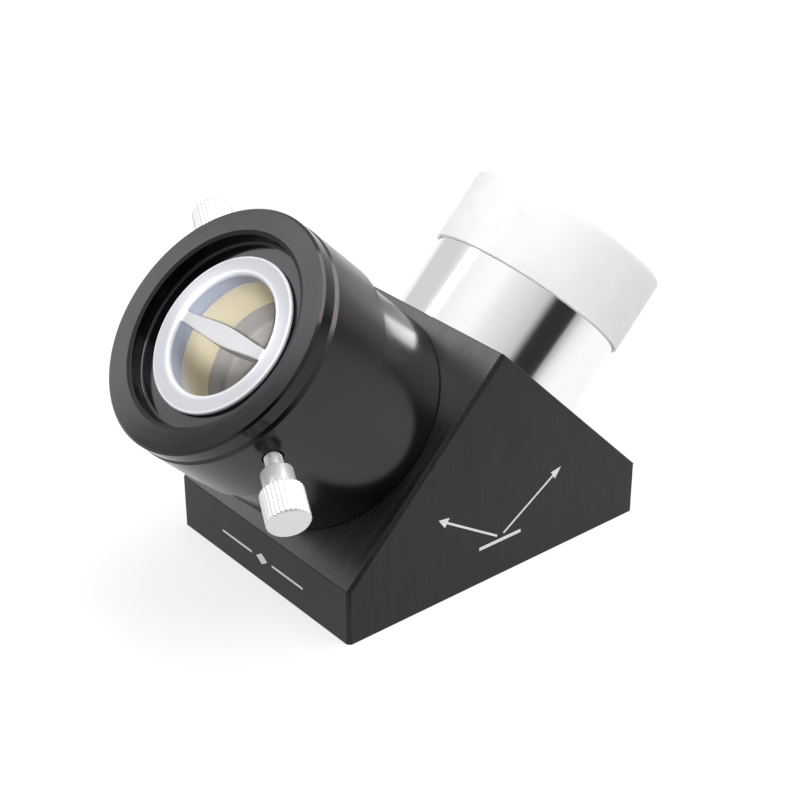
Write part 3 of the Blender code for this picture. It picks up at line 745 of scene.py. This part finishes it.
def build_camera():
    """The photograph's camera, solved from the block's edges and the circles of the tubes."""
    data = bpy.data.cameras.new("camera")
    data.lens = 81.02
    data.sensor_width = 36.0
    data.shift_x = -0.0403
    data.shift_y = -0.0339
    data.clip_start = 0.01
    camera = bpy.data.objects.new("camera", data)
    bpy.context.scene.collection.objects.link(camera)
    forward = (CAMERA_AIM - CAMERA_AT).normalized()
    level = forward.cross(Vector((0, 0, 1))).normalized()
    top = level.cross(forward)
    right = level * math.cos(CAMERA_ROLL) + top * math.sin(CAMERA_ROLL)
    up = right.cross(forward)
    pose = Matrix((right, up, -forward)).transposed().to_4x4()
    pose.translation = CAMERA_AT
    camera.matrix_world = pose
    bpy.context.scene.camera = camera


def stage_plane(name, size, place, material):
    """A flat rectangle that belongs to the stage and not to the object."""
    mesh = bpy.data.meshes.new(name)
    half = [part * MM / 2 for part in size]
    corners = [(-half[0], -half[1], 0), (half[0], -half[1], 0), (half[0], half[1], 0), (-half[0], half[1], 0)]
    mesh.from_pydata(corners, [], [(0, 1, 2, 3)])
    mesh.materials.append(material)
    plane = bpy.data.objects.new(name, mesh)
    bpy.context.scene.collection.objects.link(plane)
    plane.matrix_world = place


def looking_back(spot, way, distance):
    """A light's place at that distance from a spot, looking back at it."""
    return Matrix.Translation(spot + way * distance * MM) @ way.to_track_quat("Z", "Y").to_matrix().to_4x4()


def softbox(name, azimuth, elevation, size, strength):
    """A rectangular light, seen at that azimuth and elevation in degrees, with its radiance given."""
    data = bpy.data.lights.new(name, "AREA")
    data.shape = "RECTANGLE"
    data.size, data.size_y = size[0] * MM, size[1] * MM
    data.energy = strength * math.pi * data.size * data.size_y
    light = bpy.data.objects.new(name, data)
    bpy.context.scene.collection.objects.link(light)
    light.visible_camera = False
    east, north = math.radians(azimuth), math.radians(elevation)
    way = Vector((math.cos(north) * math.cos(east), math.cos(north) * math.sin(east), math.sin(north)))
    light.matrix_world = looking_back(Vector((0, 0, 45)) * MM, way, 600)
    return light


def build_world():
    """A white tent: bright above and behind, dark low at the front, and plain white to the camera."""
    world = bpy.data.worlds.new("tent")
    bpy.context.scene.world = world
    world.use_nodes = True
    tree = world.node_tree
    tree.nodes.clear()

    def node(kind, *inputs, **settings):
        return add_node(tree, kind, *inputs, **settings).outputs

    def span(*inputs):
        return node("ShaderNodeMapRange", *inputs)[0]

    ways = node("ShaderNodeSeparateXYZ", node("ShaderNodeTexCoord")["Generated"])
    frontness = span(ways[1], -0.15, -0.45, 0.0, 1.0)
    lowness = span(ways[2], 0.40, 0.30, 0.0, 1.0)
    dark = node("ShaderNodeMath", frontness, lowness, operation="MULTIPLY")[0]
    front = span(ways[2], 0.36, 0.80, 0.6, 1.0)
    behind = span(ways[2], 0.45, 0.85, 0.75, 1.2)
    bright = span(frontness, 0.0, 1.0, behind, front)
    light = span(dark, 0.0, 1.0, bright, 0.03)
    tent = node("ShaderNodeBackground", (1.0, 0.99, 1.0, 1.0), light)[0]
    seen = node("ShaderNodeBackground", (1.0, 1.0, 1.0, 1.0), 1.0)[0]
    ray = node("ShaderNodeLightPath")["Is Camera Ray"]
    node("ShaderNodeOutputWorld", node("ShaderNodeMixShader", ray, tent, seen)[0])


def build_snoot():
    """A narrow beam into the eyepiece bore, which lights its brass ring through the plug."""
    data = bpy.data.lights.new("snoot", "SPOT")
    data.energy = 10.0
    data.spot_size = math.radians(3.4)
    data.spot_blend = 0.5
    data.shadow_soft_size = 3 * MM
    light = bpy.data.objects.new("snoot", data)
    bpy.context.scene.collection.objects.link(light)
    way = Vector((-0.49, -0.76, 0.42)).normalized()
    mouth = EYEPIECE @ Vector((3 * MM, 2 * MM, 74 * MM))
    light.matrix_world = looking_back(mouth, way, 400)


def build_stage():
    """A white sweep that glows like a lit table, with soft boxes round it. What the object mirrors of it
    gets darker towards the front, and the camera sees it evenly white."""
    white = Look("white_sweep", (0.18, 0.18, 0.18), 0.9)
    x, y, z = white.place()
    white.set("Roughness", white.span(white.noise(white.vector(x, y, z), 0.05), 0.3, 0.7, 0.85, 0.95))
    front = white.maths("SUBTRACT", y, white.maths("MULTIPLY", x, 0.15))
    white.set("Emission Color", (1.0, 1.0, 1.0, 1.0))
    seen = white.node("ShaderNodeLightPath").outputs["Is Camera Ray"]
    white.set("Emission Strength", white.maths("MAXIMUM", white.span(front, -110.0, -450.0, 0.7, 0.25),
                                               white.maths("MULTIPLY", seen, 0.75)))
    stage_plane("floor", (2400, 2400), Matrix.Translation((0, 0, -0.05 * MM)), white.material)
    softbox("top_box", -37, 75, (560, 560), 4.8)
    softbox("back_box", 124, 32, (90, 350), 2.6).visible_diffuse = False
    softbox("key_box", -140, 40, (300, 300), 2.4).visible_glossy = False
    softbox("fill_box", -45, 22, (300, 300), 2.6).visible_glossy = False
    build_snoot()
    bpy.context.scene.view_settings.view_transform = "Standard"


def finish_hidden_nodes():
    """The mirror and its pads show as their own CAD solids, with a finish from here."""
    pads = {f"mirror_pad_{number}": "rubber" for number in (1, 2, 3, 4)}
    for name, look in {"mirror": "mirror", **pads}.items():
        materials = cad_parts[name].data.materials
        materials.clear()
        materials.append(LOOKS[look])


build_block()
build_base()
build_holder()
build_thumbscrews()
build_adapter()
build_plug()
build_nosepiece()
build_marks()
finish_hidden_nodes()
build_camera()
build_world()
build_stage()
